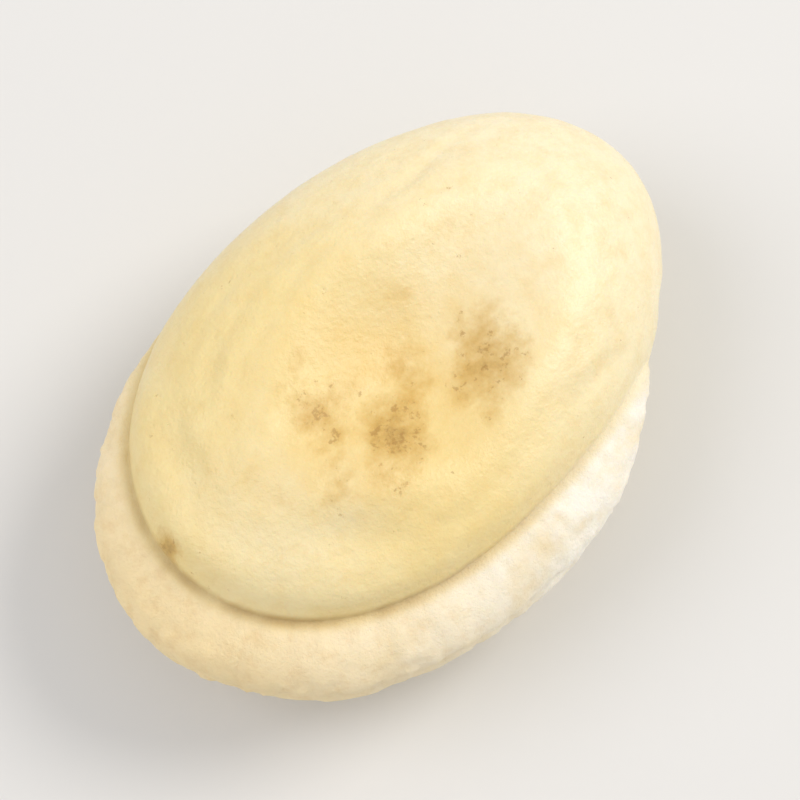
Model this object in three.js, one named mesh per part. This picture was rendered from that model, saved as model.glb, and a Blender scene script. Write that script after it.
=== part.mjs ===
// A dried, roasted white hyacinth bean (Lablab purpureus) lying on one of its broad faces.
// It is one seed and one solid: the pale aril, the micropyle and the raphe are grown onto the seed coat.
// Lengths are in millimetres and angles in degrees. X runs along the seed, Y across it and Z through
// its thickness. The aril follows the -Y edge and wraps round the -X end.

import * as THREE from 'three';
import { mergeVertices } from 'three/addons/utils/BufferGeometryUtils.js';

// The body without its aril: an egg-shaped outline, fullest towards -X, and a section a little fuller
// than an ellipse.
const BODY_LENGTH = 11.4;
const BODY_WIDTH = 7.6;
const BODY_THICKNESS = 5;
const EGG = 0.075;
const SECTION_POWER = 2.2;

// The aril is a raised crescent. It starts with a narrow, rounded nose on the -Y edge and tapers away past
// the -X end. Where its nose is full and its taper starts are shares of its length.
const ARIL = { start: -58, end: -247, height: 0.67, halfWidth: 1.05, leastWidth: 0.35, power: 2.3 };
const ARIL_NOSE = { full: 0.2, power: 1.6 };
const ARIL_TAPER = { from: 0.57, power: 0.78 };
const ARIL_WAVES = [{ cycles: 7, share: 0.04 }, { cycles: 12, share: 0.03 }];

// A shallow groove runs along the aril's crest, and a narrow furrow parts it from the coat on both faces.
const GROOVE = { depth: 0.1, spread: 0.24 };
const FURROW = { depth: 0.15, width: 0.55 };

// The upper face is dished where the seed has shrunk, with an uneven rim and a low swelling round it, and
// both faces roll a little.
const DISH = { x: 0.3, y: -0.35, alongX: 3.4, alongY: 2.2, depth: 0.75 };
const DISH_WAVES = [{ cycles: 3, share: 0.07, turn: 40 }, { cycles: 5, share: 0.04, turn: -70 }];
const SWELLING = { height: 0.09, width: 0.4 };
const UPPER_ROLL = { height: 0.05, length: 5.6, bearing: 38 };
const LOWER_ROLL = { height: 0.05, length: 5.2, bearing: -48 };
const LOWER_ROLL_FULL = 0.7;

// Small marks beyond the two ends of the aril, both on the edge of the seed.
const MICROPYLE = { angle: -44, radius: 0.55, depth: 0.12 };
const RAPHE = { from: 112, to: 78, halfWidth: 0.38, height: 0.06 };

// The underside is flat out to this share of the outline, and the seed rests on that spot.
const FLAT_SHARE = 0.27;

// Grid: columns go round the outline, and each half of a column crosses four zones to its pole.
const COLUMNS = 100;
const ARIL_ROWS = 8;
const FURROW_ROWS = 4;
const FACE_ROWS = 9;
const CAP_ROWS = 3;
const HALF_ROWS = ARIL_ROWS + FURROW_ROWS + FACE_ROWS + CAP_ROWS;

const HALF_LENGTH = BODY_LENGTH / 2;
const HALF_WIDTH = BODY_WIDTH / 2;
const HALF_THICKNESS = BODY_THICKNESS / 2;
const QUARTER_TURN = Math.PI / 2;
const FULL_TURN = Math.PI * 2;
const TANGENT_STEP = 1e-3;
const MERGE_DISTANCE = 1e-4;

const { clamp, degToRad, euclideanModulo, lerp, smoothstep } = THREE.MathUtils;

// A smooth bump, 1 at its centre and 0 from a distance of 1 outwards.
function bump(distance) {
  return Math.max(1 - distance * distance, 0) ** 2;
}

// A superellipse: how far out and how far up a section is at a latitude between 0 and a quarter turn.
function sectionAt(latitude, power) {
  return { out: Math.cos(latitude) ** (2 / power), up: Math.sin(latitude) ** (2 / power) };
}

// Latitude at which the body's section has risen to a height over the middle plane.
function latitudeAtHeight(height) {
  return Math.asin((height / HALF_THICKNESS) ** (SECTION_POWER / 2));
}

// Latitude at which the body's section has drawn in to a share of the outline.
function latitudeAtShare(share) {
  return Math.acos(share ** (SECTION_POWER / 2));
}

// Point of the body's outline at an angle round the seed.
function outline(angle) {
  const x = Math.cos(angle);
  return new THREE.Vector2(HALF_LENGTH * x, HALF_WIDTH * Math.sin(angle) * (1 - EGG * x));
}

// Level outward direction at that point, square to the outline.
function outlineNormal(angle) {
  const along = outline(angle + TANGENT_STEP).sub(outline(angle - TANGENT_STEP)).normalize();
  return new THREE.Vector2(along.y, -along.x);
}

// Strength of the aril at an angle, from 0 to 1: a round rise at the nose, then full, then a long taper.
function arilStrength(angle) {
  const past = euclideanModulo(degToRad(ARIL.start) - angle + QUARTER_TURN, FULL_TURN) - QUARTER_TURN;
  const share = past / degToRad(ARIL.start - ARIL.end);
  if (share <= 0 || share >= 1) return 0;
  const short = 1 - Math.min(share / ARIL_NOSE.full, 1);
  const rise = (1 - short ** ARIL_NOSE.power) ** (1 / ARIL_NOSE.power);
  const taper = Math.max(share - ARIL_TAPER.from, 0) / (1 - ARIL_TAPER.from);
  return rise * Math.cos(QUARTER_TURN * taper) ** ARIL_TAPER.power;
}

function arilHalfWidth(angle) {
  return ARIL.halfWidth * lerp(ARIL.leastWidth, 1, arilStrength(angle));
}

// Height of the aril over the body, a little uneven along its length and lower in the groove on its crest.
function arilHeight(angle, z) {
  const waves = ARIL_WAVES.reduce((sum, wave) => sum + wave.share * Math.sin(wave.cycles * angle), 1);
  const groove = GROOVE.depth * Math.exp(-((z / GROOVE.spread) ** 2));
  return arilStrength(angle) * (ARIL.height * waves - groove);
}

// A slow wave over a face, along a bearing in the XY plane.
function roll(wave, x, y) {
  const bearing = degToRad(wave.bearing);
  const distance = x * Math.cos(bearing) + y * Math.sin(bearing);
  return wave.height * Math.sin(FULL_TURN * (distance / wave.length));
}

// Distance from the middle of the dish, 1 on its rim.
function dishDistance(x, y) {
  const along = (x - DISH.x) / DISH.alongX;
  const across = (y - DISH.y) / DISH.alongY;
  const angle = Math.atan2(across, along);
  const rim = DISH_WAVES.reduce(
    (sum, wave) => sum + wave.share * Math.sin(wave.cycles * angle + degToRad(wave.turn)),
    1,
  );
  return Math.hypot(along, across) / rim;
}

// Relief of the upper face.
function upperRelief(x, y) {
  const distance = dishDistance(x, y);
  const swelling = SWELLING.height * bump((distance - 1) / SWELLING.width);
  return swelling - DISH.depth * bump(distance) + roll(UPPER_ROLL, x, y);
}

// Relief of the lower face, which fades out before the flat spot.
function lowerRelief(x, y, share) {
  return roll(LOWER_ROLL, x, y) * smoothstep(share, FLAT_SHARE, LOWER_ROLL_FULL);
}

// The pit of the micropyle and the low line of the raphe, measured out along the surface's normal.
function edgeMarks(angle, height) {
  const fromPit = outline(angle).distanceTo(outline(degToRad(MICROPYLE.angle)));
  const pit = MICROPYLE.depth * bump(Math.hypot(fromPit, height) / MICROPYLE.radius);
  const along = degToRad(RAPHE.from) - euclideanModulo(angle, FULL_TURN);
  const share = clamp(along / degToRad(RAPHE.from - RAPHE.to), 0, 1);
  return RAPHE.height * bump(2 * share - 1) * bump(height / RAPHE.halfWidth) - pit;
}

// Where a row crosses the section: its latitude, the share of the aril's height that it is raised by and
// the share of the furrow's depth that it is sunk by. Rows lie closest together on the aril.
function zoneOf(row, angle) {
  const halfWidth = arilHalfWidth(angle);
  if (row <= ARIL_ROWS) {
    const crest = sectionAt(QUARTER_TURN * (row / ARIL_ROWS), ARIL.power);
    return { latitude: latitudeAtHeight(halfWidth * crest.up), raised: crest.out, sunk: 1 - crest.out };
  }
  const shoulder = latitudeAtHeight(halfWidth + FURROW.width);
  const pastAril = row - ARIL_ROWS;
  if (pastAril <= FURROW_ROWS) {
    const share = pastAril / FURROW_ROWS;
    const latitude = lerp(latitudeAtHeight(halfWidth), shoulder, share);
    return { latitude, raised: 0, sunk: (1 - share) ** 2 };
  }
  const pastFurrow = pastAril - FURROW_ROWS;
  if (pastFurrow <= FACE_ROWS) {
    const latitude = lerp(shoulder, latitudeAtShare(FLAT_SHARE), pastFurrow / FACE_ROWS);
    return { latitude, raised: 0, sunk: 0 };
  }
  const left = 1 - (pastFurrow - FACE_ROWS) / CAP_ROWS;
  return { latitude: latitudeAtShare(FLAT_SHARE * left), raised: 0, sunk: 0 };
}

// Point of the seed's surface at a column's angle and a row, from -HALF_ROWS below to HALF_ROWS on top.
function surfacePoint(angle, row) {
  const side = Math.sign(row);
  const { latitude, raised, sunk } = zoneOf(Math.abs(row), angle);
  const section = sectionAt(latitude, SECTION_POWER);
  const edge = outline(angle).multiplyScalar(section.out);
  const height = HALF_THICKNESS * section.up;
  const flatHeight = HALF_THICKNESS * sectionAt(latitudeAtShare(FLAT_SHARE), SECTION_POWER).up;
  const z = side > 0 ? height : -Math.min(height, flatHeight);
  const relief = side > 0 ? upperRelief(edge.x, edge.y) : lowerRelief(edge.x, edge.y, section.out);

  const pushed = edgeMarks(angle, height) - FURROW.depth * arilStrength(angle) * sunk;
  const level = arilHeight(angle, z) * raised + pushed * Math.cos(latitude);
  const normal = outlineNormal(angle);
  return new THREE.Vector3(
    edge.x + normal.x * level,
    edge.y + normal.y * level,
    z + relief * section.up ** 2 + side * pushed * Math.sin(latitude),
  );
}

// A sphere's grid is laid over the seed: its uv gives each vertex a column and a row.
function seedGeometry() {
  const geometry = new THREE.SphereGeometry(1, COLUMNS, 2 * HALF_ROWS);
  const { position, uv } = geometry.attributes;
  for (let i = 0; i < position.count; i++) {
    const row = Math.round((2 * uv.getY(i) - 1) * HALF_ROWS);
    const column = Math.abs(row) === HALF_ROWS ? 0 : Math.round(uv.getX(i) * COLUMNS) % COLUMNS;
    position.setXYZ(i, ...surfacePoint(FULL_TURN * (column / COLUMNS), row));
  }
  geometry.deleteAttribute('uv');
  geometry.deleteAttribute('normal');
  const closed = mergeVertices(geometry, MERGE_DISTANCE);
  closed.computeVertexNormals();
  return closed;
}

const seedCoat = new THREE.MeshStandardMaterial({ color: '#e6cb94', roughness: 0.5, metalness: 0 });
const bean = new THREE.Mesh(seedGeometry(), seedCoat);
bean.name = 'bean';

// The origin is under the middle of the seed's box, on the surface that it rests on.
bean.geometry.computeBoundingBox();
const box = bean.geometry.boundingBox;
const middle = box.getCenter(new THREE.Vector3());
bean.position.set(-middle.x, -middle.y, -box.min.z);

const hyacinthBean = new THREE.Group();
hyacinthBean.name = 'hyacinth_bean';
hyacinthBean.add(bean);

export default hyacinthBean;
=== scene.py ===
# Hyacinth bean: a dried, roasted seed with its pale aril, lying on a plain pale floor under soft light.
import math
from functools import partial

import bpy
from mathutils import Matrix, Vector


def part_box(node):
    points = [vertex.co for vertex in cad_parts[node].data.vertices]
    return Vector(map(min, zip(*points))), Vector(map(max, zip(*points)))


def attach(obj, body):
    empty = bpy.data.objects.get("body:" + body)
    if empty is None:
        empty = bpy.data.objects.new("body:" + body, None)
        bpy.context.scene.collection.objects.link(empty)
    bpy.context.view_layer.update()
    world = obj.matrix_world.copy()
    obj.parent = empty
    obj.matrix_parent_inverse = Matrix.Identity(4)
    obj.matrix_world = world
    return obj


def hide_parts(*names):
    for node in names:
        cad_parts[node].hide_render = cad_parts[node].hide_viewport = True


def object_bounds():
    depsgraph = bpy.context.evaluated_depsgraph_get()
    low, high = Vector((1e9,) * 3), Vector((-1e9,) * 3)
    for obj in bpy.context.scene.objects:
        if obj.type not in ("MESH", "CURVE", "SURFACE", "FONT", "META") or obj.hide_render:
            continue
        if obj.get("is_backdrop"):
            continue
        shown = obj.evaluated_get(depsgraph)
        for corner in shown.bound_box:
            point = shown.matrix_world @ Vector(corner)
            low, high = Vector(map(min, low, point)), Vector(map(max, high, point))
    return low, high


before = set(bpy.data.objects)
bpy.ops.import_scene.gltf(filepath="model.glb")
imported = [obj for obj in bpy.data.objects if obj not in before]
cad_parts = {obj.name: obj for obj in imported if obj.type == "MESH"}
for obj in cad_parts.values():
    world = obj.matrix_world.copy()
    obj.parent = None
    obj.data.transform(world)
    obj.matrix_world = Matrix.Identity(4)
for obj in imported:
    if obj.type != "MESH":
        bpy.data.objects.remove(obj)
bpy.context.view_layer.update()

metresPerMm = 0.001
mmPerMetre = 1000.0
quarterTurn = math.pi / 2
fullTurn = math.pi * 2

# Kinds of node that come often.
maths = "ShaderNodeMath"
vectors = "ShaderNodeVectorMath"
splitVector = "ShaderNodeSeparateXYZ"
joinVector = "ShaderNodeCombineXYZ"
mapRange = "ShaderNodeMapRange"
mix = "ShaderNodeMix"
noiseTexture = "ShaderNodeTexNoise"
cellTexture = "ShaderNodeTexVoronoi"


# Adds a node, gives it its settings, and links or sets its inputs, in order or by name.
def addNode(tree, kind, inputs=(), output=0, **settings):
    node = tree.nodes.new(kind)
    for name, value in settings.items():
        setattr(node, name, value)
    for key, value in inputs.items() if isinstance(inputs, dict) else enumerate(inputs):
        if isinstance(value, bpy.types.NodeSocket):
            tree.links.new(value, node.inputs[key])
        else:
            node.inputs[key].default_value = value
    return node.outputs[output]


def linearColour(hexColour):
    channels = [int(hexColour[i:i + 2], 16) / 255 for i in (1, 3, 5)]
    return [*(((c + 0.055) / 1.055) ** 2.4 if c > 0.04045 else c / 12.92 for c in channels), 1.0]


# What a user would change on the bean. Lengths are in millimetres, and angles run round the seed from +X.
bean = {
    "Body Length": 11.4,
    "Body Width": 7.6,
    "Body Thickness": 5.0,
    "Egg": 0.075,  # how much wider the -X end is
    "Section Power": 2.2,  # 2 is an ellipse
    "Flat Share": 0.27,  # share of the outline that rests on the floor
    "Aril Start": math.radians(-58),
    "Aril Span": math.radians(189),
    "Aril Height": 0.67,
    "Aril Half Width": 1.05,
    "Aril Least Width": 0.35,
    "Aril Power": 2.3,
    "Aril Nose": 0.2,  # where its nose is full, a share of its length, as is the start of its taper
    "Aril Nose Power": 1.6,
    "Aril Taper From": 0.57,
    "Aril Taper Power": 0.78,
    "Groove Depth": 0.1,
    "Groove Spread": 0.24,
    "Furrow Depth": 0.15,
    "Furrow Width": 0.5,
    "Furrow Nose": 0.3,  # share of the furrow's depth and of the lip's height by the aril's nose
    "Furrow Nose X": 3.4,  # as far as here they have that share
    "Furrow Full X": -1.5,  # and from here on they are whole
    "Lip Height": 0.06,  # of the coat's edge along the furrow
    "Lip Place": 0.5,  # how far above the aril, and the next is how far it reaches each way
    "Lip Reach": 0.3,
    "Ring Depth": 0.08,  # of a faint second furrow in the coat, beyond the lip
    "Ring Place": 0.88,
    "Ring Reach": 0.24,
    "Ring Gaps": 0.5,  # scale of the uneven pattern about 0 that interrupts it
    "Ring Gone": -0.12,  # value of the pattern where there is no ring, and the next where it is whole
    "Ring Whole": 0.1,
    "Furrow Shade Reach": 0.17,  # of the painted shade where coat and aril meet
    "Furrow Shade Full": 0.3,  # strength of the aril from which that painted shade is full
    "Aril Edge": 0.2,  # height at which the aril's tissue is full
    "Tissue From": 0.01,  # share of that height from which faces are the aril's
    "Micropyle Angle": math.radians(-44),
    "Micropyle Radius": 0.55,
    "Micropyle Depth": 0.12,
    "Raphe From": math.radians(112),
    "Raphe To": math.radians(78),
    "Raphe Half Width": 0.38,
    "Raphe Height": 0.06,
    "Dish Centre": (0.3, -0.35, 0.0),
    "Dish Radii": (3.4, 2.2, 1.0),
    "Dish Depth": 0.75,
    "Swelling Height": 0.09,
    "Swelling Width": 0.4,
    "Roll Height": 0.05,
    "Upper Roll Length": 5.6,
    "Upper Roll Bearing": math.radians(38),
    "Lower Roll Length": 5.2,
    "Lower Roll Bearing": math.radians(-48),
    "Lower Roll Full": 0.7,  # a share of the outline
    "Fold Height": 0.15,  # of the folds round the dish
    "Folds Around": 2.2,  # for each radian round it
    "Folds Across": 4.5,  # for each of its radii outwards
    "Fold Place": 1.2,  # where they are highest, and how far they reach each way, in shares of its radii
    "Fold Reach": 0.7,
    "Wrinkles": 0.8,  # how many come in a millimetre, as with the grain
    "Wrinkle Height": 0.05,
    "Grains": 4.5,
    "Grain Height": 0.012,
    "Aril Grain Height": 0.02,
    "Lump Height": 0.16,  # of the aril's lumps and hollows, the next is how many lie in a millimetre
    "Lumps": 0.75,
    "Creases": 9.0,  # across the aril, for each radian round the seed
    "Crease Width": 0.09,
    "Crease Depth": 0.04,
    "Scorch Depth": 0.05,
    "Segments": 340,
    "Rings": 250,
    "Aril Rows": 0.3,  # share of the rings that the aril takes
    "Seed": 3.0,
}

# How the noise of each part of the fine relief is made.
finePatterns = {
    "folds": {"Detail": 1.0, "Distortion": 0.25},
    "wrinkles": {"Detail": 3.0, "Roughness": 0.45, "Distortion": 0.6},
    "grain": {"Detail": 3.0},
    "creases": {"Detail": 2.0, "Roughness": 0.5, "Distortion": 0.5},
    "lumps": {"Detail": 2.0, "Roughness": 0.4},
}

# Uneven height of the aril's crest, and uneven rim of the dish.
arilWaves = [{"cycles": 7, "share": 0.04, "turn": 0}, {"cycles": 12, "share": 0.03, "turn": 0}]
dishWaves = [{"cycles": 3, "share": 0.07, "turn": 40}, {"cycles": 5, "share": 0.04, "turn": -70}]

# Roasting marks on the upper face: places from the middle of the seed and radii in millimetres, the turn of
# the longer radius in degrees, and how deep the roast goes (1 is charred).
scorchMarks = [
    {"place": (0.75, -1.3), "radii": (1.25, 0.85), "turn": 42, "roast": 0.66},
    {"place": (-1.25, -0.95), "radii": (1.2, 0.8), "turn": 40, "roast": 0.7},
    {"place": (-0.25, -0.4), "radii": (0.75, 0.5), "turn": 55, "roast": 0.52},
    {"place": (-1.75, 0.2), "radii": (1.2, 0.8), "turn": 50, "roast": 0.44},
    {"place": (-2.4, -0.85), "radii": (0.8, 0.5), "turn": 40, "roast": 0.36},
    {"place": (-5.1, 0.62), "radii": (0.45, 0.34), "turn": 60, "roast": 0.85},
]


def softBump(node, distance):  # 1 at the centre and 0 from a distance of 1 outwards
    squared = node(maths, (distance, 2.0), operation="POWER")
    left = node(maths, (1.0, squared), operation="SUBTRACT", use_clamp=True)
    return node(maths, (left, 2.0), operation="POWER")


# Strength of the aril round the seed, from 0 to 1: a narrow nose, then full, then a long taper.
def arilStrength(node, size, angle):
    past = node(maths, (size["Aril Start"], angle), operation="SUBTRACT")
    past = node(maths, (past, fullTurn - quarterTurn, -quarterTurn), operation="WRAP")
    share = node(maths, (past, size["Aril Span"]), operation="DIVIDE", use_clamp=True)
    nose = node(maths, (share, size["Aril Nose"]), operation="DIVIDE", use_clamp=True)
    short = node(maths, (1.0, nose), operation="SUBTRACT")
    short = node(maths, (short, size["Aril Nose Power"]), operation="POWER")
    inverse = node(maths, (1.0, size["Aril Nose Power"]), operation="DIVIDE")
    rounded = node(maths, (node(maths, (1.0, short), operation="SUBTRACT"), inverse), operation="POWER")
    taper = node(mapRange, {"Value": share, "From Min": size["Aril Taper From"], "To Max": quarterTurn})
    tail = node(maths, (taper,), operation="COSINE")
    tail = node(maths, (tail, size["Aril Taper Power"]), operation="POWER")
    return node(maths, (rounded, tail), operation="MULTIPLY", use_clamp=True)


# Sine of the body's latitude for a point of the sphere. The rows nearest the edge are spread evenly round the
# aril's section, so that its foot always lies along a row, and the others cross the face.
def spreadRows(node, size, rise, arilHalfWidth):
    row = node(maths, (node(maths, (rise,), operation="ARCSINE"), quarterTurn), operation="DIVIDE")
    halfThickness = node(maths, (size["Body Thickness"], 0.5), operation="MULTIPLY")
    halfPower = node(maths, (size["Section Power"], 0.5), operation="MULTIPLY")
    foot = node(maths, (arilHalfWidth, halfThickness), operation="DIVIDE")
    foot = node(maths, (foot, halfPower), operation="POWER")
    onAril = node(mapRange, {"Value": row, "From Max": size["Aril Rows"], "To Max": quarterTurn})
    inverse = node(maths, (1.0, size["Aril Power"]), operation="DIVIDE")
    arilRise = node(maths, (onAril,), operation="SINE")
    arilRise = node(maths, (arilRise, size["Section Power"]), operation="POWER")
    arilRise = node(maths, (arilRise, inverse), operation="POWER")
    arilRise = node(maths, (arilRise, foot), operation="MULTIPLY")
    onFace = node(mapRange, {"Value": row, "From Min": size["Aril Rows"], "To Max": quarterTurn,
                             "To Min": node(maths, (foot,), operation="ARCSINE")})
    faceRise = node(maths, (onFace,), operation="SINE")
    isFace = node(maths, (row, size["Aril Rows"]), operation="GREATER_THAN")
    return node(mix, {0: isFace, 2: arilRise, 3: faceRise})


# The body: the points of a sphere are sent to an egg-shaped outline and a superellipse section.
def bodyShape(node, size):
    axes = node(splitVector, (node("GeometryNodeInputPosition"),)).node.outputs
    angle = node(maths, (axes["Y"], axes["X"]), operation="ARCTAN2")
    cosine = node(maths, (angle,), operation="COSINE")
    sine = node(maths, (angle,), operation="SINE")
    strength = arilStrength(node, size, angle)
    least = node(maths, (size["Aril Half Width"], size["Aril Least Width"]), operation="MULTIPLY")
    arilHalfWidth = node(mapRange, {"Value": strength, "To Min": least, "To Max": size["Aril Half Width"]})
    rise = spreadRows(node, size, node(maths, (axes["Z"],), operation="ABSOLUTE"), arilHalfWidth)
    squared = node(maths, (rise, rise), operation="MULTIPLY")
    level = node(maths, (1.0, squared), operation="SUBTRACT", use_clamp=True)
    inverse = node(maths, (1.0, size["Section Power"]), operation="DIVIDE")
    out = node(maths, (level, inverse), operation="POWER")
    up = node(maths, (rise, node(maths, (2.0, inverse), operation="MULTIPLY")), operation="POWER")

    halfLength = node(maths, (size["Body Length"], 0.5), operation="MULTIPLY")
    halfWidth = node(maths, (size["Body Width"], 0.5), operation="MULTIPLY")
    halfThickness = node(maths, (size["Body Thickness"], 0.5), operation="MULTIPLY")
    egg = node(maths, (size["Egg"], cosine), operation="MULTIPLY")
    egg = node(maths, (1.0, egg), operation="SUBTRACT")
    edgeX = node(maths, (halfLength, cosine), operation="MULTIPLY")
    edgeY = node(maths, (halfWidth, sine), operation="MULTIPLY")
    edgeY = node(maths, (edgeY, egg), operation="MULTIPLY")
    edge = node(joinVector, (edgeX, edgeY, 0.0))
    doubled = node(maths, (angle, 2.0), operation="MULTIPLY")
    doubled = node(maths, (doubled,), operation="COSINE")
    doubled = node(maths, (size["Egg"], doubled), operation="MULTIPLY")
    slope = node(maths, (cosine, doubled), operation="SUBTRACT")
    outwardX = node(maths, (halfWidth, slope), operation="MULTIPLY")
    outwardY = node(maths, (halfLength, sine), operation="MULTIPLY")
    return {
        "angle": angle,
        "side": node(maths, (axes["Z"],), operation="SIGN"),
        "isUpper": node(maths, (axes["Z"], 0.0), operation="GREATER_THAN"),
        "arilStrength": strength,
        "arilHalfWidth": arilHalfWidth,
        "rise": rise,
        "level": node(maths, (level,), operation="SQRT"),
        "out": out,
        "up": up,
        "edge": edge,
        "plan": node(vectors, {0: edge, "Scale": out}, operation="SCALE"),
        "height": node(maths, (halfThickness, up), operation="MULTIPLY"),
        "outward": node(vectors, (node(joinVector, (outwardX, outwardY, 0.0)),), operation="NORMALIZE"),
    }


def addWaves(node, angle, waves):  # about 1, as the angle goes round
    total = 1.0
    for wave in waves:
        phase = node(maths, (angle, wave["cycles"], math.radians(wave["turn"])), operation="MULTIPLY_ADD")
        swing = node(maths, (phase,), operation="SINE")
        total = node(maths, (swing, wave["share"], total), operation="MULTIPLY_ADD")
    return total


# The aril: a crescent on the edge, grooved on its crest, with a furrow at its foot.
def arilShape(node, size, body):
    strength = body["arilStrength"]
    ratio = node(maths, (body["height"], body["arilHalfWidth"]), operation="DIVIDE", use_clamp=True)
    powered = node(maths, (ratio, size["Aril Power"]), operation="POWER")
    inverse = node(maths, (1.0, size["Aril Power"]), operation="DIVIDE")
    section = node(maths, (node(maths, (1.0, powered), operation="SUBTRACT"), inverse), operation="POWER")
    beyond = node(maths, (body["height"], body["arilHalfWidth"]), operation="SUBTRACT")
    far = node(maths, (beyond, size["Furrow Width"]), operation="DIVIDE", use_clamp=True)
    near = node(maths, (node(maths, (1.0, far), operation="SUBTRACT"), 2.0), operation="POWER")
    sunk = node(maths, (node(maths, (1.0, section), operation="SUBTRACT"), near), operation="MULTIPLY")
    sunk = node(maths, (sunk, strength), operation="MULTIPLY")

    groove = node(maths, (body["height"], size["Groove Spread"]), operation="DIVIDE")
    groove = node(maths, (groove, 2.0), operation="POWER")
    groove = node(maths, (groove, -1.0), operation="MULTIPLY")
    groove = node(maths, (groove,), operation="EXPONENT")
    groove = node(maths, (groove, size["Groove Depth"]), operation="MULTIPLY")
    crest = node(maths, (size["Aril Height"], addWaves(node, body["angle"], arilWaves)), operation="MULTIPLY")
    crest = node(maths, (node(maths, (crest, groove), operation="SUBTRACT"), strength), operation="MULTIPLY")
    raised = node(maths, (crest, section), operation="MULTIPLY")
    return {"beyond": beyond, "raised": raised, "sunk": sunk}


# Small marks on the edge: the micropyle's pit by the aril's nose, and the raphe's low line past its tip.
def edgeMarks(node, size, body):
    x, y = math.cos(bean["Micropyle Angle"]), math.sin(bean["Micropyle Angle"])
    pitPlace = (bean["Body Length"] / 2 * x, bean["Body Width"] / 2 * y * (1 - bean["Egg"] * x), 0.0)
    onEdge = node(vectors, (body["edge"], node(joinVector, (0.0, 0.0, body["height"]))), operation="ADD")
    distance = node(vectors, (onEdge, pitPlace), output="Value", operation="DISTANCE")
    pit = softBump(node, node(maths, (distance, size["Micropyle Radius"]), operation="DIVIDE"))
    pit = node(maths, (pit, size["Micropyle Depth"]), operation="MULTIPLY")
    turned = node(maths, (body["angle"], fullTurn, 0.0), operation="WRAP")
    raphe = {"Value": turned, "From Min": size["Raphe To"], "From Max": size["Raphe From"], "To Min": -1.0}
    across = node(maths, (body["height"], size["Raphe Half Width"]), operation="DIVIDE")
    line = node(maths, (softBump(node, node(mapRange, raphe)), softBump(node, across)), operation="MULTIPLY")
    line = node(maths, (line, size["Raphe Height"]), operation="MULTIPLY")
    return node(maths, (line, pit), operation="SUBTRACT")


# A slow wave over the upper or the lower face.
def roll(node, size, plan, face):
    turned = node("ShaderNodeVectorRotate", {"Vector": plan, "Angle": size[face + " Roll Bearing"]},
                  rotation_type="Z_AXIS", invert=True)
    along = node(splitVector, (turned,)).node.outputs["X"]
    turns = node(maths, (along, size[face + " Roll Length"]), operation="DIVIDE")
    wave = node(maths, (node(maths, (turns, fullTurn), operation="MULTIPLY"),), operation="SINE")
    return node(maths, (wave, size["Roll Height"]), operation="MULTIPLY")


# Relief of the two faces: dish and swelling above, and below a roll that fades out before the flat spot.
def faceRelief(node, size, body, dish):
    hollow = node(maths, (softBump(node, dish), size["Dish Depth"]), operation="MULTIPLY")
    onRim = node(maths, (dish, 1.0), operation="SUBTRACT")
    onRim = node(maths, (onRim, size["Swelling Width"]), operation="DIVIDE")
    swelling = node(maths, (softBump(node, onRim), size["Swelling Height"]), operation="MULTIPLY")
    upper = node(maths, (swelling, hollow), operation="SUBTRACT")
    upper = node(maths, (upper, roll(node, size, body["plan"], "Upper")), operation="ADD")
    fade = {"Value": body["out"], "From Min": size["Flat Share"], "From Max": size["Lower Roll Full"]}
    fade = node(mapRange, fade, interpolation_type="SMOOTHSTEP")
    lower = node(maths, (roll(node, size, body["plan"], "Lower"), fade), operation="MULTIPLY")
    relief = node(mix, {0: body["isUpper"], 2: lower, 3: upper})
    return node(maths, (relief, node(maths, (body["up"], 2.0), operation="POWER")), operation="MULTIPLY")


# How deep the roast goes on the upper face: most in the middle of a mark, and evenly down to 0 at its edge.
def scorchField(node, body):
    field = 0.0
    for mark in scorchMarks:
        offset = node(vectors, (body["plan"], (*mark["place"], 0.0)), operation="SUBTRACT")
        offset = node("ShaderNodeVectorRotate", {"Vector": offset, "Angle": math.radians(mark["turn"])},
                      rotation_type="Z_AXIS", invert=True)
        offset = node(vectors, (offset, (*mark["radii"], 1.0)), operation="DIVIDE")
        distance = node(vectors, (offset,), output="Value", operation="LENGTH")
        roast = node(mapRange, {"Value": distance, "To Min": mark["roast"], "To Max": 0.0})
        field = node(maths, (field, roast), operation="MAXIMUM")
    return node(maths, (field, body["isUpper"]), operation="MULTIPLY")


# Uneven pattern about 0, in steps of about 1/scale of the place's unit.
def wander(node, size, place, scale, **more):
    inputs = {"Vector": place, "Scale": scale, "W": size["Seed"], **more}
    pattern = node(noiseTexture, inputs, noise_dimensions="4D")
    return node(maths, (pattern, 0.5), operation="SUBTRACT")


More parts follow.
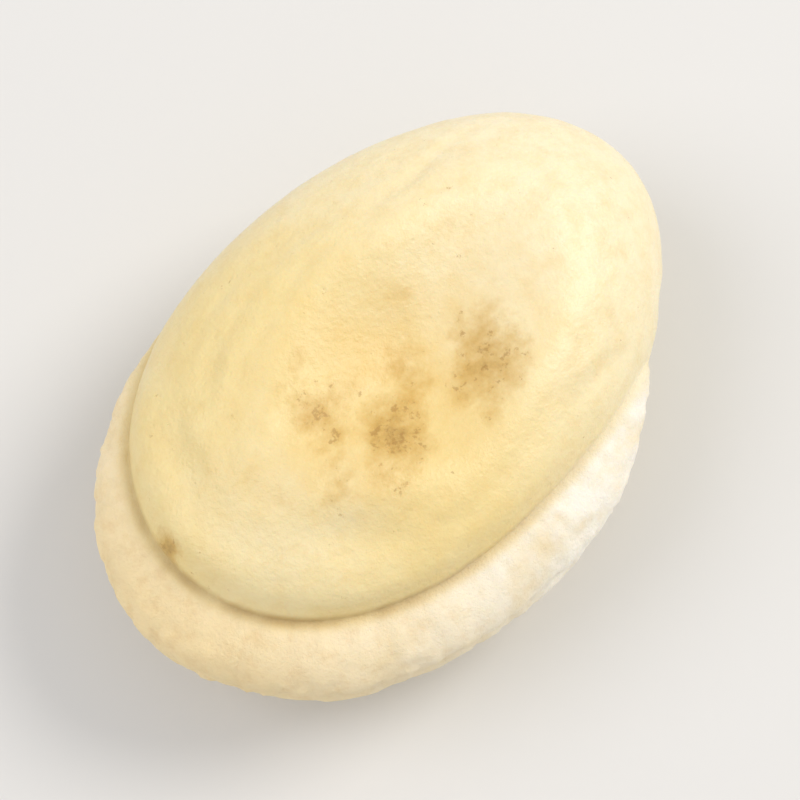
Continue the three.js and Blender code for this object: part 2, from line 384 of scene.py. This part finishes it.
# Folds round the dish, wrinkles over the whole coat, and the sunk scorch marks.
def coatRelief(node, size, place, masks):
    inDish = node(joinVector, (masks["dishX"], masks["dishY"], 0.0))
    dish = node(vectors, (inDish,), output="Value", operation="LENGTH")
    around = node(vectors, (inDish,), operation="NORMALIZE")
    around = node(vectors, {0: around, "Scale": size["Folds Around"]}, operation="SCALE")
    across = node(maths, (dish, size["Folds Across"]), operation="MULTIPLY")
    folded = node(vectors, (around, node(joinVector, (0.0, 0.0, across))), operation="ADD")
    folds = wander(node, size, folded, 1.0, **finePatterns["folds"])
    folds = node(maths, (folds, size["Fold Height"]), operation="MULTIPLY")
    fromFolds = node(maths, (dish, size["Fold Place"]), operation="SUBTRACT")
    fromFolds = node(maths, (fromFolds, size["Fold Reach"]), operation="DIVIDE")
    folds = node(maths, (folds, softBump(node, fromFolds)), operation="MULTIPLY")
    wrinkles = wander(node, size, place, size["Wrinkles"], **finePatterns["wrinkles"])
    relief = node(maths, (wrinkles, size["Wrinkle Height"], folds), operation="MULTIPLY_ADD")
    coat = node(maths, (1.0, masks["aril"]), operation="SUBTRACT")
    relief = node(maths, (relief, coat), operation="MULTIPLY")
    scorched = node(maths, (size["Scorch Depth"], -1.0), operation="MULTIPLY")
    return node(maths, (masks["scorch"], scorched, relief), operation="MULTIPLY_ADD")


# Lumps on the aril, and fine creases across it.
def arilRelief(node, size, place, masks):
    height = node(splitVector, (place,)).node.outputs["Z"]
    along = node(maths, (masks["angle"], size["Creases"]), operation="MULTIPLY")
    along = node(joinVector, (along, height, 0.0))
    creases = wander(node, size, along, 1.0, **finePatterns["creases"])
    creases = node(maths, (creases,), operation="ABSOLUTE")
    creases = {"Value": creases, "From Max": size["Crease Width"], "To Min": -1.0, "To Max": 0.0}
    creases = node(mapRange, creases, interpolation_type="SMOOTHSTEP")
    creases = node(maths, (creases, size["Crease Depth"]), operation="MULTIPLY")
    creases = node(maths, (creases, masks["aril"]), operation="MULTIPLY")
    lumps = wander(node, size, place, size["Lumps"], **finePatterns["lumps"])
    lumps = node(maths, (lumps, size["Lump Height"]), operation="MULTIPLY")
    return node(maths, (lumps, masks["aril"], creases), operation="MULTIPLY_ADD")


# Fine relief along the normal, with a grain that is coarser on the aril.
def fineRelief(node, size, masks):
    place = node("GeometryNodeInputPosition")
    rough = node(mapRange, {"Value": masks["aril"], "To Min": size["Grain Height"],
                            "To Max": size["Aril Grain Height"]})
    grain = wander(node, size, place, size["Grains"], **finePatterns["grain"])
    grain = node(maths, (grain, rough), operation="MULTIPLY")
    onCoat = node(maths, (coatRelief(node, size, place, masks), grain), operation="ADD")
    return node(maths, (onCoat, arilRelief(node, size, place, masks)), operation="ADD")


# Place in the dish, in shares of its radii: its uneven rim is at a distance of 1 from its middle.
def dishOffset(node, size, plan):
    offset = node(vectors, (plan, size["Dish Centre"]), operation="SUBTRACT")
    offset = node(vectors, (offset, size["Dish Radii"]), operation="DIVIDE")
    axes = node(splitVector, (offset,)).node.outputs
    angle = node(maths, (axes["Y"], axes["X"]), operation="ARCTAN2")
    inverse = node(maths, (1.0, addWaves(node, angle, dishWaves)), operation="DIVIDE")
    return node(vectors, {0: offset, "Scale": inverse}, operation="SCALE")


# Masks for the fine relief and the materials, stored while the points are still on the sphere.
def storeMasks(node, size, mesh, body, aril, inDish):
    # Where the furrow's painted shade falls: near the aril's foot, and only where the aril is strong enough.
    present = node(mapRange, {"Value": body["arilStrength"], "From Max": size["Furrow Shade Full"]})
    overFoot = node(maths, (aril["beyond"], 0.0), operation="MAXIMUM")
    overFoot = node(maths, (overFoot, aril["raised"]), operation="ADD")
    foot = softBump(node, node(maths, (overFoot, size["Furrow Shade Reach"]), operation="DIVIDE"))
    dishAxes = node(splitVector, (inDish,)).node.outputs
    stored = {
        "aril": node(maths, (aril["raised"], size["Aril Edge"]), operation="DIVIDE", use_clamp=True),
        "furrow": node(maths, (foot, present), operation="MULTIPLY"),
        "upper": body["isUpper"],
        "scorch": scorchField(node, body),
        "angle": body["angle"],
        "dishX": dishAxes["X"],
        "dishY": dishAxes["Y"],
    }
    masks = {}
    for name, mask in stored.items():
        mesh = node("GeometryNodeStoreNamedAttribute", {"Geometry": mesh, "Name": name, "Value": mask},
                    data_type="FLOAT", domain="POINT")
        masks[name] = node("GeometryNodeInputNamedAttribute", {"Name": name}, data_type="FLOAT")
    return mesh, masks


# How far the coat is pushed out: by the marks on the edge, the furrow, its lip and a faint ring beyond it.
def coatPush(node, size, body, aril):
    planX = node(splitVector, (body["plan"],)).node.outputs["X"]
    deepening = node(mapRange, {"Value": planX, "From Min": size["Furrow Nose X"],
                                "From Max": size["Furrow Full X"], "To Min": size["Furrow Nose"]})
    sunk = node(maths, (aril["sunk"], size["Furrow Depth"]), operation="MULTIPLY")
    sunk = node(maths, (sunk, deepening), operation="MULTIPLY")
    pushed = node(maths, (edgeMarks(node, size, body), sunk), operation="SUBTRACT")
    fromLip = node(maths, (aril["beyond"], size["Lip Place"]), operation="SUBTRACT")
    fromLip = node(maths, (fromLip, size["Lip Reach"]), operation="DIVIDE")
    lip = node(maths, (softBump(node, fromLip), body["arilStrength"]), operation="MULTIPLY")
    lip = node(maths, (lip, deepening), operation="MULTIPLY")
    pushed = node(maths, (lip, size["Lip Height"], pushed), operation="MULTIPLY_ADD")
    fromRing = node(maths, (aril["beyond"], size["Ring Place"]), operation="SUBTRACT")
    fromRing = node(maths, (fromRing, size["Ring Reach"]), operation="DIVIDE")
    broken = wander(node, size, body["plan"], size["Ring Gaps"])
    broken = node(mapRange, {"Value": broken, "From Min": size["Ring Gone"], "From Max": size["Ring Whole"]})
    ring = node(maths, (softBump(node, fromRing), body["arilStrength"]), operation="MULTIPLY")
    ring = node(maths, (ring, broken), operation="MULTIPLY")
    ring = node(maths, (ring, size["Ring Depth"]), operation="MULTIPLY")
    return node(maths, (pushed, ring), operation="SUBTRACT")


# Place of each point: out by the aril and the coat's push, and up or down by the push and the faces' relief.
def beanPlace(node, size, body, aril, relief, floor):
    pushed = coatPush(node, size, body, aril)
    outBy = node(maths, (pushed, body["level"], aril["raised"]), operation="MULTIPLY_ADD")
    upBy = node(maths, (pushed, body["rise"]), operation="MULTIPLY")
    upBy = node(maths, (upBy, body["side"]), operation="MULTIPLY")
    middle = node(maths, (body["height"], body["side"]), operation="MULTIPLY")
    middle = node(maths, (middle, floor), operation="MAXIMUM")
    middle = node(maths, (middle, relief), operation="ADD")
    lift = node(joinVector, (0.0, 0.0, node(maths, (middle, upBy), operation="ADD")))
    outward = node(vectors, {0: body["outward"], "Scale": outBy}, operation="SCALE")
    outward = node(vectors, (body["plan"], outward), operation="ADD")
    return node(vectors, (outward, lift), operation="ADD")


def beanTree(coat, arilTissue):
    tree = bpy.data.node_groups.new("hyacinthBean", "GeometryNodeTree")
    tree.interface.new_socket("Geometry", in_out="OUTPUT", socket_type="NodeSocketGeometry")
    for name, value in bean.items():
        kind = "Vector" if isinstance(value, tuple) else "Int" if isinstance(value, int) else "Float"
        tree.interface.new_socket(name, in_out="INPUT", socket_type=f"NodeSocket{kind}")
    size = tree.nodes.new("NodeGroupInput").outputs
    node = partial(addNode, tree)

    body = bodyShape(node, size)
    aril = arilShape(node, size, body)
    inDish = dishOffset(node, size, body["plan"])
    relief = faceRelief(node, size, body, node(vectors, (inDish,), output="Value", operation="LENGTH"))
    sphere = {"Segments": size["Segments"], "Rings": size["Rings"], "Radius": 1.0}
    mesh, masks = storeMasks(node, size, node("GeometryNodeMeshUVSphere", sphere), body, aril, inDish)

    flatRise = (1 - bean["Flat Share"] ** bean["Section Power"]) ** (1 / bean["Section Power"])
    floor = node(maths, (size["Body Thickness"], -flatRise / 2), operation="MULTIPLY")
    place = beanPlace(node, size, body, aril, relief, floor)
    mesh = node("GeometryNodeSetPosition", {"Geometry": mesh, "Position": place})

    # The fine relief leaves the flat spot flat.
    along = node(vectors, {0: node("GeometryNodeInputNormal"), "Scale": fineRelief(node, size, masks)},
                 operation="SCALE")
    mesh = node("GeometryNodeSetPosition", {"Geometry": mesh, "Offset": along})
    axes = node(splitVector, (node("GeometryNodeInputPosition"),)).node.outputs
    kept = node(joinVector, (axes["X"], axes["Y"], node(maths, (axes["Z"], floor), operation="MAXIMUM")))
    mesh = node("GeometryNodeSetPosition", {"Geometry": mesh, "Position": kept})

    mesh = node("GeometryNodeTransform", {"Geometry": mesh, "Scale": (metresPerMm,) * 3})
    mesh = node("GeometryNodeSetShadeSmooth", {"Geometry": mesh})
    mesh = node("GeometryNodeRealizeInstances", {"Geometry": mesh})
    mesh = node("GeometryNodeSetMaterial", {"Geometry": mesh, "Material": coat})
    onAril = node(maths, (masks["aril"], size["Tissue From"]), operation="GREATER_THAN")
    mesh = node("GeometryNodeSetMaterial", {"Geometry": mesh, "Selection": onAril, "Material": arilTissue})
    tree.links.new(mesh, tree.nodes.new("NodeGroupOutput").inputs[0])
    return tree


def bakeTree(name, tree, sizes):
    source = bpy.data.objects.new(name + "Source", bpy.data.meshes.new(name + "Source"))
    bpy.context.scene.collection.objects.link(source)
    modifier = source.modifiers.new(name, "NODES")
    modifier.node_group = tree
    for item in tree.interface.items_tree:
        if item.in_out == "INPUT":
            modifier[item.identifier] = sizes[item.name]
    evaluated = source.evaluated_get(bpy.context.evaluated_depsgraph_get())
    mesh = bpy.data.meshes.new_from_object(evaluated)
    bpy.data.objects.remove(source)
    made = bpy.data.objects.new(name, mesh)
    bpy.context.scene.collection.objects.link(made)
    return made


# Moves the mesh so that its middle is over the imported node's, and its flat spot is on the floor.
def placeOver(made, node):
    low, high = (Vector(corner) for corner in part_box(node))
    corners = [Vector(corner) for corner in made.bound_box]
    least = Vector(min(c[axis] for c in corners) for axis in range(3))
    most = Vector(max(c[axis] for c in corners) for axis in range(3))
    shift = (low + high - least - most) / 2
    shift.z = low.z - least.z
    made.data.transform(Matrix.Translation(shift))


def startMaterial(name):
    material = bpy.data.materials.new(name)
    material.use_nodes = True
    node = partial(addNode, material.node_tree)
    place = node("ShaderNodeTexCoord", output="Object")
    inMm = node(vectors, {0: place, "Scale": mmPerMetre}, operation="SCALE")
    return material, node, material.node_tree.nodes["Principled BSDF"], inMm


def finishMaterial(material, shader, values, links):
    for name, value in values.items():
        shader.inputs[name].default_value = value
    for name, socket in links.items():
        material.node_tree.links.new(socket, shader.inputs[name])
    return material


def readMask(node, name):
    return node("ShaderNodeAttribute", output="Fac", attribute_name=name)


def blend(node, amount, under, over):
    over = over if isinstance(over, bpy.types.NodeSocket) else linearColour(over)
    return node(mix, {0: amount, 6: under, 7: over}, output=2, data_type="RGBA")


# An uneven share of the surface: noise, and the part of its range that takes the share from none to full.
def uneven(node, inMm, pattern, **limits):
    noise = node(noiseTexture, {"Vector": inMm, **pattern["noise"]})
    return node(mapRange, {"Value": noise, **pattern["range"], **limits})


# In the finishes, a pattern's scale is how many of its patches come in a millimetre, and where a range's name
# ends in X or Y it starts and ends at that place in millimetres.
# Colours and spread of the furrow's painted shade, which stands for the shadow in the crease between coat and
# aril.
furrowPaintedShade = {
    "nose": "#fbf0d2",
    "tip": "#cdb077",
    "alongX": {"From Min": 3.0, "From Max": -3.5},
    "fadingY": {"From Min": 2.6, "From Max": 0.6, "To Min": 0.4},
    "unevenShade": {"noise": {"Scale": 1.2, "Detail": 3.0},
             "range": {"From Min": 0.36, "From Max": 0.6, "To Min": 0.45}},
}


# Painted shade along the furrow where coat and aril meet, the same in both materials, with a little tan
# staining in it:
# paler than the coat by the aril's nose, where it paints light over the crevice's shadow, darker painted
# shade round the -X end, and faint and uneven towards the aril's tip.
def paintFurrowShade(node, colour, inMm):
    axes = node(splitVector, (inMm,)).node.outputs
    along = node(mapRange, {"Value": axes["X"], **furrowPaintedShade["alongX"]})
    shade = blend(node, along, linearColour(furrowPaintedShade["nose"]), furrowPaintedShade["tip"])
    fading = node(mapRange, {"Value": axes["Y"], **furrowPaintedShade["fadingY"]})
    unevenShade = uneven(node, inMm, furrowPaintedShade["unevenShade"])
    amount = node(maths, (readMask(node, "furrow"), unevenShade), operation="MULTIPLY")
    return blend(node, node(maths, (amount, fading), operation="MULTIPLY"), colour, shade)


coatFinish = {
    "cream": "#f0da9b",
    "pale": "#f8eece",
    "gold": "#e5c275",
    "fleck": "#a47a3b",
    "palePatches": {"noise": {"Scale": 0.28, "Detail": 3.0, "Roughness": 0.55},
                    "range": {"From Min": 0.38, "From Max": 0.66, "To Max": 0.4}},
    "paleEndX": {"From Min": -0.5, "From Max": 4.4, "To Max": 0.8},
    "flushCentre": (-0.3, -0.07, 0.0),  # in shares of the dish's radii, as the flush's reach is
    "flushReach": {"From Min": 1.1, "From Max": 0.2},
    "flushPatches": {"noise": {"Scale": 0.8, "Detail": 4.0, "Roughness": 0.6},
                     "range": {"From Min": 0.3, "From Max": 0.7}},
    "mottles": {"noise": {"Scale": 2.4, "Detail": 5.0, "Roughness": 0.7},
                "range": {"From Min": 0.42, "From Max": 0.7, "To Max": 0.3}},
    "roast": [  # shade, the depths of roast where it starts and is full, and how strong it is
        ("#c99f4c", 0.06, 0.5, 0.72),
        ("#8d682f", 0.48, 0.8, 0.66),
        ("#432917", 0.7, 0.95, 0.6),
    ],
    "ragged": {"Scale": 1.6, "Detail": 4.0, "Roughness": 0.65},
    "raggedMiddle": 0.53,  # value of the ragged noise that leaves the roast as it is
    "raggedBy": {"From Max": 0.2, "To Min": 0.75, "To Max": 1.3},  # how much it adds, by the depth of roast
    "flecks": {"Scale": 4.5, "Detail": 4.0, "Roughness": 0.7},
    "fleckFrom": {"From Max": 0.6, "To Min": 0.68, "To Max": 0.5},  # of the noise, by the depth of roast
    "fleckEdge": {"From Max": 0.06, "To Max": 0.5},
    "grain": {"Scale": 8.0, "Detail": 4.0, "Roughness": 0.65},
    "pores": 5.0,
    "poreDepth": {"From Max": 0.22, "To Min": -0.25, "To Max": 0.0},
    "bump": {"Strength": 0.7, "Distance": 0.04 * metresPerMm},
    "roughness": 0.38,
    "roastRoughness": 0.6,
    "dulled": {"From Min": 0.1, "From Max": 0.8},  # depths of roast
    "shader": {"IOR": 1.48, "Subsurface Weight": 0.15, "Subsurface Radius": (1.0, 0.6, 0.3),
               "Subsurface Scale": 0.4 * metresPerMm, "Coat Weight": 0.06, "Coat Roughness": 0.4},
}


# Colour of the coat without its marks: cream, paler towards +X, with a warmer flush in the dish.
def coatColour(node, inMm):
    broad = uneven(node, inMm, coatFinish["palePatches"])
    colour = blend(node, broad, linearColour(coatFinish["cream"]), coatFinish["pale"])
    alongSeed = node(splitVector, (inMm,)).node.outputs["X"]
    paleEnd = node(mapRange, {"Value": alongSeed, **coatFinish["paleEndX"]})
    colour = blend(node, paleEnd, colour, coatFinish["pale"])

    inDish = node(joinVector, (readMask(node, "dishX"), readMask(node, "dishY"), 0.0))
    fromFlush = node(vectors, (inDish, coatFinish["flushCentre"]), output="Value", operation="DISTANCE")
    flush = node(mapRange, {"Value": fromFlush, **coatFinish["flushReach"]})
    flush = node(maths, (flush, readMask(node, "upper")), operation="MULTIPLY")
    patchy = uneven(node, inMm, coatFinish["flushPatches"])
    colour = blend(node, node(maths, (flush, patchy), operation="MULTIPLY"), colour, coatFinish["gold"])
    return blend(node, uneven(node, inMm, coatFinish["mottles"]), colour, coatFinish["gold"])


# Seed coat, dried and dry roasted: a smooth, faintly waxy skin, cream to gold, browned where it was hottest.
def makeSeedCoat():
    material, node, shader, inMm = startMaterial("roastedSeedCoat")
    colour = coatColour(node, inMm)

    # The noise frays the marks' edges, and away from them only its peaks show, as faint tan flecks.
    ragged = node(noiseTexture, {"Vector": inMm, **coatFinish["ragged"]})
    ragged = node(maths, (ragged, coatFinish["raggedMiddle"]), operation="SUBTRACT")
    reach = node(mapRange, {"Value": readMask(node, "scorch"), **coatFinish["raggedBy"]})
    roast = node(maths, (ragged, reach, readMask(node, "scorch")), operation="MULTIPLY_ADD")
    for shade, start, end, strength in coatFinish["roast"]:
        amount = node(mapRange, {"Value": roast, "From Min": start, "From Max": end, "To Max": strength})
        colour = blend(node, amount, colour, shade)

    # Small flecks a tenth to a third of a millimetre across, many in the marks and few elsewhere.
    flecks = node(noiseTexture, {"Vector": inMm, **coatFinish["flecks"]})
    least = node(mapRange, {"Value": roast, **coatFinish["fleckFrom"]})
    flecks = node(maths, (flecks, least), operation="SUBTRACT")
    flecks = node(mapRange, {"Value": flecks, **coatFinish["fleckEdge"]})
    colour = blend(node, flecks, colour, coatFinish["fleck"])
    # Painted shade along the furrow, over the coat's colour.
    colour = paintFurrowShade(node, colour, inMm)

    fine = node(noiseTexture, {"Vector": inMm, **coatFinish["grain"]})
    pores = node(cellTexture, {"Vector": inMm, "Scale": coatFinish["pores"]}, feature="F1")
    pores = node(mapRange, {"Value": pores, **coatFinish["poreDepth"]})
    relief = node(maths, (fine, pores), operation="ADD")
    bump = node("ShaderNodeBump", {"Height": relief, **coatFinish["bump"]})
    gloss = node(mapRange, {"Value": roast, **coatFinish["dulled"], "To Min": coatFinish["roughness"],
                            "To Max": coatFinish["roastRoughness"]})
    return finishMaterial(material, shader, coatFinish["shader"],
                          {"Base Color": colour, "Roughness": gloss, "Normal": bump})


arilFinish = {
    "chalk": "#fff8ea",
    "cream": "#fae1ae",
    "stain": "#efdaaa",
    "freckle": "#e2c289",
    "creamX": {"From Min": 0.0, "From Max": -5.6},
    "creamY": {"From Min": 0.2, "From Max": 2.2, "To Max": 0.8},
    "stains": {"noise": {"Scale": 1.1, "Detail": 4.0, "Roughness": 0.6},
               "range": {"From Min": 0.45, "From Max": 0.75, "To Max": 0.7}},
    "freckles": {"noise": {"Scale": 3.2, "Detail": 4.0, "Roughness": 0.65},
                 "range": {"From Min": 0.5, "From Max": 0.72}},
    "freckled": {"To Min": 0.12, "To Max": 0.45},  # how strong they are, on the chalk and on the cream
    "grain": {"Scale": 14.0, "Detail": 4.0, "Roughness": 0.7},
    "bump": {"Strength": 0.7, "Distance": 0.05 * metresPerMm},
    "roughness": 0.8,
    "shader": {"IOR": 1.45, "Subsurface Weight": 0.2, "Subsurface Radius": (1.0, 0.8, 0.55),
               "Subsurface Scale": 0.4 * metresPerMm},
}


# Aril tissue, dried: a matt ridge, chalky white by its nose and creamier towards its tip, a little stained,
# that thins out onto the coat.
def makeArilTissue():
    material, node, shader, inMm = startMaterial("driedArilTissue")
    axes = node(splitVector, (inMm,)).node.outputs
    towardsEnd = node(mapRange, {"Value": axes["X"], **arilFinish["creamX"]})
    pastEnd = node(mapRange, {"Value": axes["Y"], **arilFinish["creamY"]})
    creamy = node(maths, (towardsEnd, pastEnd), operation="MAXIMUM")
    colour = blend(node, creamy, linearColour(arilFinish["chalk"]), arilFinish["cream"])
    colour = blend(node, uneven(node, inMm, arilFinish["stains"]), colour, arilFinish["stain"])
    most = node(mapRange, {"Value": creamy, **arilFinish["freckled"]})
    freckles = uneven(node, inMm, arilFinish["freckles"], **{"To Max": most})
    colour = blend(node, freckles, colour, arilFinish["freckle"])
    colour = blend(node, readMask(node, "aril"), coatColour(node, inMm), colour)
    # Painted shade along the furrow, the same as on the coat.
    colour = paintFurrowShade(node, colour, inMm)
    gloss = node(mapRange, {"Value": readMask(node, "aril"), "To Min": coatFinish["roughness"],
                            "To Max": arilFinish["roughness"]})
    fine = node(noiseTexture, {"Vector": inMm, **arilFinish["grain"]})
    bump = node("ShaderNodeBump", {"Height": fine, **arilFinish["bump"]})
    return finishMaterial(material, shader, arilFinish["shader"],
                          {"Base Color": colour, "Roughness": gloss, "Normal": bump})


studio = {
    "floorSize": 1.2,
    "floorColour": "#dfdedc",
    "floorRoughness": 0.85,
    "worldColour": "#ffffff",
    "worldStrength": 0.61,
    "lights": [  # places and widths in metres, powers in watts
        {"name": "key", "place": (0.13, -0.055, 0.14), "width": 0.1, "power": 0.205, "colour": "#fffaf2"},
        {"name": "fill", "place": (-0.10, 0.10, 0.16), "width": 0.16, "power": 0.14, "colour": "#fbfaff"},
    ],
}


def makeStudio():
    half = studio["floorSize"] / 2
    mesh = bpy.data.meshes.new("floor")
    corners = [(-half, -half, 0), (half, -half, 0), (half, half, 0), (-half, half, 0)]
    mesh.from_pydata(corners, [], [(0, 1, 2, 3)])
    floor = bpy.data.objects.new("floor", mesh)
    bpy.context.scene.collection.objects.link(floor)
    paper = bpy.data.materials.new("palePaper")
    paper.use_nodes = True
    look = {"Base Color": linearColour(studio["floorColour"]), "Roughness": studio["floorRoughness"]}
    finishMaterial(paper, paper.node_tree.nodes["Principled BSDF"], look, {})
    mesh.materials.append(paper)
    floor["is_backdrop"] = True

    world = bpy.data.worlds.new("studio")
    world.use_nodes = True
    background = world.node_tree.nodes["Background"]
    background.inputs["Color"].default_value = linearColour(studio["worldColour"])
    background.inputs["Strength"].default_value = studio["worldStrength"]
    bpy.context.scene.world = world
    for item in studio["lights"]:
        light = bpy.data.lights.new(item["name"], "AREA")
        light.shape = "DISK"
        light.size = item["width"]
        light.energy = item["power"]
        light.color = linearColour(item["colour"])[:3]
        lamp = bpy.data.objects.new(item["name"], light)
        lamp.location = item["place"]
        lamp.rotation_euler = (-lamp.location).to_track_quat("-Z", "Y").to_euler()
        bpy.context.scene.collection.objects.link(lamp)


view = {
    "azimuth": -48,  # in degrees, as the elevation
    "elevation": 73,
    "lens": 100,  # in millimetres, as the sensor
    "sensor": 36,
    "fill": 0.86,
    "nearest": 0.001,  # and farthest that is seen, in metres
    "farthest": 10.0,
}


# Looks down on the seed's broad face, as in the photograph, and fills the given share of the frame with it.
def makeCamera():
    low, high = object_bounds()
    turn, rise = math.radians(view["azimuth"]), math.radians(view["elevation"])
    back = Vector((math.sin(turn) * math.cos(rise), -math.cos(turn) * math.cos(rise), math.sin(rise)))
    camera = bpy.data.cameras.new("camera")
    camera.lens = view["lens"]
    camera.sensor_width = view["sensor"]
    camera.clip_start = view["nearest"]
    camera.clip_end = view["farthest"]
    distance = (high.x - low.x) / view["fill"] * view["lens"] / view["sensor"]
    holder = bpy.data.objects.new("camera", camera)
    holder.location = (low + high) / 2 + back * distance
    holder.rotation_euler = (-back).to_track_quat("-Z", "Y").to_euler()
    bpy.context.scene.collection.objects.link(holder)
    bpy.context.scene.camera = holder

    # Standard keeps the colours of cream and gold as they are.
    bpy.context.scene.view_settings.view_transform = "Standard"


seed = bakeTree("hyacinthBean", beanTree(makeSeedCoat(), makeArilTissue()), bean)
placeOver(seed, "bean")
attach(seed, "root")
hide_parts("bean")
print("bean", len(seed.data.polygons), "faces")

makeStudio()
print("floor, world and lights")
makeCamera()
print("camera")
